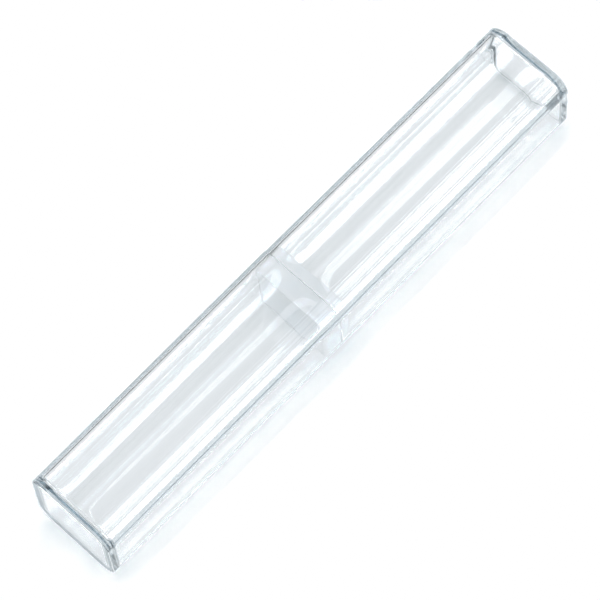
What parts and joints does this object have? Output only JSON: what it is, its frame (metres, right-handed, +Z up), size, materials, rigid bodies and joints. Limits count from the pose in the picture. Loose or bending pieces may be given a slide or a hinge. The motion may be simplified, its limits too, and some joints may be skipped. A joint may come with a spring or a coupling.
{
  "type": "clear push-fit case",
  "caption": "Long clear plastic case of rounded-square section: closed-ended halves push together over an inner sleeve and pull apart lengthwise to take slim items.",
  "frame": {"origin": "middle of the underside, closed case, at the centre of its box in X and Y", "axes": "+X along the long axis towards the closed end of the half that carries the sleeve, +Y across, +Z up out of the top face"},
  "size_m": [0.155, 0.0248, 0.0239],
  "materials": {
    "clear_shell": "crystal clear moulded polystyrene, polished, faint blue at the edges",
    "clear_sleeve": "clear moulded polystyrene, slightly milky where it is bonded"
  },
  "bodies": {
    "base_half": {"base_shell": "clear_shell", "neck_sleeve": "clear_sleeve"},
    "cap_half": {"cap_shell": "clear_shell"}
  },
  "joints": [
    {"name": "cap_pull", "type": "slide", "parent": "base_half", "child": "cap_half", "axis": [-1, 0, 0], "range_m": [0, 0.06]}
  ]
}
